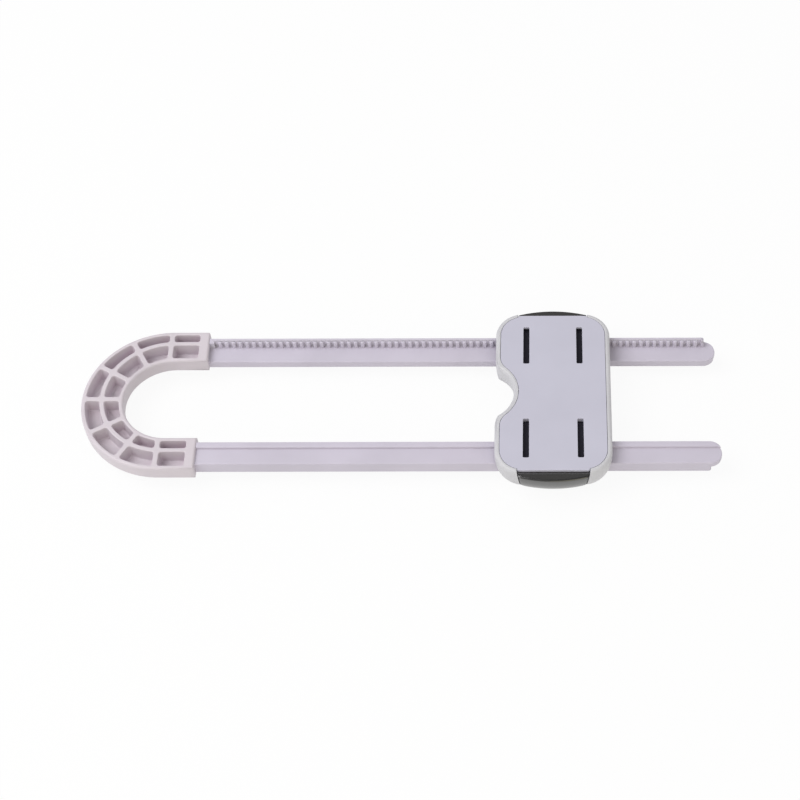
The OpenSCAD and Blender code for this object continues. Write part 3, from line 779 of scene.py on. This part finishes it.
class LOCK_OT_finishes(bpy.types.Operator):
    """Make the materials of the mouldings and the springs"""
    bl_idname = "lock.finishes"
    bl_label = "Finishes"

    def execute(self, context):
        finishes = context.scene.lock_finishes
        grain_group()
        wear_and_shade_group()
        rough = finishes.roughness
        # Each surface darkens towards its second colour, a painted shade, where the sky is hidden
        surface("bow_satin", finishes.bow, finishes.bow_painted_shade, finishes, rough)
        surface("leg_satin", finishes.leg, finishes.leg_painted_shade, finishes, rough)
        surface("shell_satin", finishes.shell, finishes.shell_painted_shade, finishes, rough)
        surface("plate_satin", finishes.plate, finishes.plate_painted_shade, finishes, rough + PLATE_ROUGHER,
                mottling=0.02)
        # The buttons' inside under the plate's slots is painted wholly in their shade colour
        surface("button_satin", finishes.button, finishes.button_painted_shade, finishes, finishes.button_roughness,
                specular=1.0, ior=BUTTON_IOR, mottling=0.06, wear=0.35, inside=LEG_HI.y + INSIDE_REACH)
        surface("spring_wire", finishes.steel, finishes.steel_painted_shade, finishes, WIRE_ROUGHNESS, metallic=1.0)
        return {"FINISHED"}


class LOCK_OT_bow(bpy.types.Operator):
    """Make the ribbed bow"""
    bl_idname = "lock.bow"
    bl_label = "Bow"

    def execute(self, context):
        sizes = context.scene.lock_body
        bow = merged_copy("bow", "ribbed_bow")
        make_pockets_anew(bow, BOW_LO.z + sizes.cell_floor, BOW_HI.z, sizes.cell_corner, sizes.cell_inset,
                          sizes.cell_draft, sizes.cell_foot, sizes.bow_round)
        reach = (-2 * BOW_HI.y, 2 * BOW_HI.y)
        for z, out in ((BOW_HI.z, UP), (BOW_LO.z, -UP)):
            cut(bow, edge_tool((BOW_HI.x, 0.0, z), ACROSS, ALONG, out, sizes.collar_round, reach))
        shade_evenly(bow)
        dress(bow, "bow_satin", "u_bar", "bow_plastic", "bow")
        return {"FINISHED"}


class LOCK_OT_legs(bpy.types.Operator):
    """Make the two legs, the same moulding turned over, and their racks"""
    bl_idname = "lock.legs"
    bl_label = "Legs and racks"

    def execute(self, context):
        sizes = context.scene.lock_legs
        collar_x = BOW_HI.x
        rail_end = LEG_HI.x - (LEG_HI.y - LEG_LO.y) / 2
        first_gap = collar_x + sizes.tooth_pitch
        teeth = math.floor((rail_end - sizes.tooth_pitch / 2 - first_gap) / sizes.tooth_pitch)
        last_gap = first_gap + teeth * sizes.tooth_pitch
        half_gap = (sizes.tooth_pitch - sizes.tooth_crown) / 2
        crown_line = LEG_HI.y - sizes.rail_width
        ledge = LEG_HI.z - sizes.rail_height
        clear = sizes.edge_round
        upper = merged_copy("upper_leg", "upper_leg_bar")
        room = box_mesh("rack_room", (first_gap - half_gap, crown_line - clear, ledge),
                        (last_gap + half_gap, crown_line + sizes.tooth_depth, LEG_HI.z + clear))
        cut(upper, add_object("rack_room", room))

        def on_bar(middle):
            beside_rail = middle.y < crown_line and middle.z < ledge + MERGE
            return middle.x > collar_x + MERGE and (beside_rail or middle.z < ledge - MERGE)

        round_edges(upper, sizes.edge_round, outer_edge, on_bar)
        cut(upper, edge_tool((collar_x, LEG_HI.y, LEG_HI.z), ALONG, ACROSS, UP, sizes.edge_round,
                             (0.0, LEG_HI.x - collar_x)))
        shade_evenly(upper)
        rack = grow("upper_rack_teeth", rack_tree(), {
            "Teeth": teeth, "Pitch": sizes.tooth_pitch, "First tooth": first_gap + sizes.tooth_pitch / 2,
            "Crown line": crown_line, "Ledge": ledge - clear, "Depth": sizes.tooth_depth + clear,
            "Rise": sizes.rail_height + clear, "Crown width": sizes.tooth_crown,
            "Root width": sizes.tooth_root, "Rounding": sizes.tooth_round,
            "Material": bpy.data.materials["leg_satin"]})
        shade_creased(rack)
        lower = turned_over(upper, "lower_leg_bar")
        lower_rack = turned_over(rack, "lower_rack_teeth")
        dress(upper, "leg_satin", "u_bar", "leg_plastic", "upper_leg")
        dress(rack, "leg_satin", "u_bar", "leg_plastic")
        dress(lower, "leg_satin", "u_bar", "leg_plastic", "lower_leg")
        dress(lower_rack, "leg_satin", "u_bar", "leg_plastic")
        return {"FINISHED"}


class LOCK_OT_body(bpy.types.Operator):
    """Make the front shell and the back plate"""
    bl_idname = "lock.body"
    bl_label = "Lock body"

    def execute(self, context):
        sizes = context.scene.lock_body
        shell = merged_copy("front_shell", "rounded_front_shell")
        round_edges(shell, sizes.shell_round, level_edge, lambda middle: middle.z > SHELL_HI.z - MERGE)
        shade_evenly(shell)
        dress(shell, "shell_satin", "lock_body", "shell_plastic", "front_shell")
        plate = merged_copy("back_plate", "slotted_back_plate")
        round_edges(plate, sizes.plate_round, level_edge, lambda middle: middle.z > SHELL_HI.z - MERGE)
        shade_evenly(plate)
        dress(plate, "plate_satin", "lock_body", "plate_plastic", "back_plate")
        return {"FINISHED"}


class LOCK_OT_buttons(bpy.types.Operator):
    """Make the two side buttons"""
    bl_idname = "lock.buttons"
    bl_label = "Side buttons"

    def execute(self, context):
        for node in ("upper_button", "lower_button"):
            button = merged_copy(node, f"{node}_moulding")
            shade_evenly(button)
            dress(button, "button_satin", node, "button_plastic", node)
        return {"FINISHED"}


class LOCK_OT_springs(bpy.types.Operator):
    """Make the two return springs"""
    bl_idname = "lock.springs"
    bl_label = "Return springs"

    def execute(self, context):
        sizes = context.scene.lock_springs
        tree = spring_tree()
        middle = (SPRING_LO + SPRING_HI) / 2
        free_length = SPRING_HI.y - SPRING_LO.y
        upper = grow("upper_return_spring", tree, {
            "Turns": sizes.turns, "Steps": sizes.steps, "Wire": sizes.wire, "Length": free_length,
            "Radius": (SPRING_HI.x - SPRING_LO.x - sizes.wire) / 2,
            "Start": (middle.x, SPRING_LO.y, middle.z), "Material": bpy.data.materials["spring_wire"]})
        upper.data.shade_smooth()
        mesh = upper.data.copy()
        mesh.transform(Matrix.Translation((2 * middle.x, 0.0, 0.0)) @ Matrix.Rotation(math.pi, 4, "Z"))
        lower = add_object("lower_return_spring", mesh)
        for spring, side, y in ((upper, "upper", SPRING_LO.y), (lower, "lower", -SPRING_LO.y)):
            dress(spring, "spring_wire", "lock_body", "spring_steel", f"{side}_spring")
            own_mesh(spring)
        return {"FINISHED"}


def add_area(name, at, size, power, tint):
    """A round area light that points at the origin"""
    light = bpy.data.lights.new(name, "AREA")
    light.shape = "DISK"
    light.size = size
    light.energy = power
    light.color = tint
    lamp = bpy.data.objects.new(name, light)
    lamp.location = at
    lamp.rotation_euler = (-Vector(at)).to_track_quat("-Z", "Y").to_euler()
    bpy.context.scene.collection.objects.link(lamp)


def floor_material(settings):
    """A pale floor that the camera sees as white, with a faint shadow"""
    material = bpy.data.materials.new("pale_floor")
    material.use_nodes = True
    tree = material.node_tree
    link = tree.links.new
    shader = tree.nodes["Principled BSDF"]
    shader.inputs["Roughness"].default_value = FLOOR_ROUGHNESS
    shader.inputs["Specular IOR Level"].default_value = FLOOR_SPECULAR
    where = add_node(tree, "ShaderNodeTexCoord")
    fibres = add_node(tree, "ShaderNodeTexNoise", {"Scale": FIBRE_SCALE, "Detail": 3.0})
    link(where.outputs["Object"], fibres.inputs["Vector"])
    tone = add_node(tree, "ShaderNodeMapRange", {"To Min": FIBRE_SPAN[0], "To Max": FIBRE_SPAN[1]})
    link(fibres.outputs["Fac"], tone.inputs["Value"])
    paper = add_node(tree, "ShaderNodeVectorMath", operation="SCALE")
    paper.inputs[0].default_value = settings.floor[:3]
    link(tone.outputs[0], paper.inputs["Scale"])
    link(paper.outputs[0], shader.inputs["Base Color"])
    white = add_node(tree, "ShaderNodeEmission", {"Color": (*WHITE, 1.0), "Strength": 1.0})
    rays = add_node(tree, "ShaderNodeLightPath")
    mirrored = math_node(tree, "MAXIMUM", rays.outputs["Is Glossy Ray"], rays.outputs["Is Transmission Ray"])
    seen = math_node(tree, "MAXIMUM", rays.outputs["Is Camera Ray"], mirrored)
    share = math_node(tree, "MULTIPLY", seen, 1.0 - settings.shadow)
    mix = add_node(tree, "ShaderNodeMixShader")
    link(share, mix.inputs[0])
    link(shader.outputs[0], mix.inputs[1])
    link(white.outputs[0], mix.inputs[2])
    link(mix.outputs[0], tree.nodes["Material Output"].inputs["Surface"])
    return material


class LOCK_OT_stage(bpy.types.Operator):
    """Make the floor, the lights, the sky and the camera"""
    bl_idname = "lock.stage"
    bl_label = "Stage"

    def execute(self, context):
        scene = context.scene
        settings = scene.lock_stage
        scene.view_settings.view_transform = "Standard"
        floor = add_object("floor", box_mesh("floor", (-FLOOR_HALF, -FLOOR_HALF, -FLOOR_DEPTH),
                                             (FLOOR_HALF, FLOOR_HALF, 0.0)))
        floor.data.materials.append(floor_material(settings))
        add_area("key_light", KEY_AT, KEY_SIZE, settings.key_power, WHITE)
        add_area("fill_light", FILL_AT, FILL_SIZE, settings.fill_power, settings.fill_tint[:3])
        world = bpy.data.worlds.new("soft_sky")
        world.use_nodes = True
        scene.world = world
        tree = world.node_tree
        link = tree.links.new
        back = tree.nodes["Background"]
        back.inputs["Color"].default_value = (*WHITE, 1.0)
        rays = add_node(tree, "ShaderNodeLightPath")
        light = add_node(tree, "ShaderNodeMapRange", {"To Min": settings.sky, "To Max": settings.mirrored_sky})
        link(rays.outputs["Is Glossy Ray"], light.inputs["Value"])
        strength = math_node(tree, "MAXIMUM", rays.outputs["Is Camera Ray"], light.outputs[0])
        link(strength, back.inputs["Strength"])
        camera = bpy.data.objects.new("photo_camera", bpy.data.cameras.new("photo_camera"))
        scene.collection.objects.link(camera)
        eye, aim = Vector(settings.eye), Vector(settings.aim)
        camera.location = eye
        level = (aim - eye).to_track_quat("-Z", "Y")
        camera.rotation_euler = (level @ Quaternion(UP, -settings.roll)).to_euler()
        camera.data.sensor_width = SENSOR
        camera.data.lens = settings.lens
        camera.data.shift_x = settings.shift_x
        camera.data.clip_start = CLIP_NEAR
        camera.data.clip_end = CLIP_FAR
        scene.camera = camera
        return {"FINISHED"}


OPERATORS = (LOCK_OT_stage, LOCK_OT_finishes, LOCK_OT_bow, LOCK_OT_legs, LOCK_OT_body, LOCK_OT_buttons,
             LOCK_OT_springs)


class LOCK_PT_panel(bpy.types.Panel):
    """Sizes, finishes and makers of the cabinet lock"""
    bl_idname = "LOCK_PT_panel"
    bl_label = "Cabinet lock"
    bl_space_type = "VIEW_3D"
    bl_region_type = "UI"
    bl_category = "Cabinet lock"

    def draw(self, context):
        for group in PROPERTIES:
            box = self.layout.box()
            owner = getattr(context.scene, group)
            for name in owner.bl_rna.properties.keys():
                if name not in ("rna_type", "name"):
                    box.prop(owner, name)
        for operator in OPERATORS:
            self.layout.operator(operator.bl_idname)


PROPERTIES = {"lock_finishes": LockFinishes, "lock_legs": LegSizes, "lock_body": BodySizes,
              "lock_springs": SpringSizes, "lock_stage": StageSettings}


def register():
    for kind in (*PROPERTIES.values(), *OPERATORS, LOCK_PT_panel):
        bpy.utils.register_class(kind)
    for name, kind in PROPERTIES.items():
        setattr(bpy.types.Scene, name, bpy.props.PointerProperty(type=kind))


def unregister():
    for name in PROPERTIES:
        delattr(bpy.types.Scene, name)
    for kind in (LOCK_PT_panel, *reversed(OPERATORS), *reversed(PROPERTIES.values())):
        bpy.utils.unregister_class(kind)


def main():
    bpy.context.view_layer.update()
    register()
    for operator in OPERATORS:
        group, name = operator.bl_idname.split(".")
        getattr(getattr(bpy.ops, group), name)()


if __name__ == "__main__":
    main()
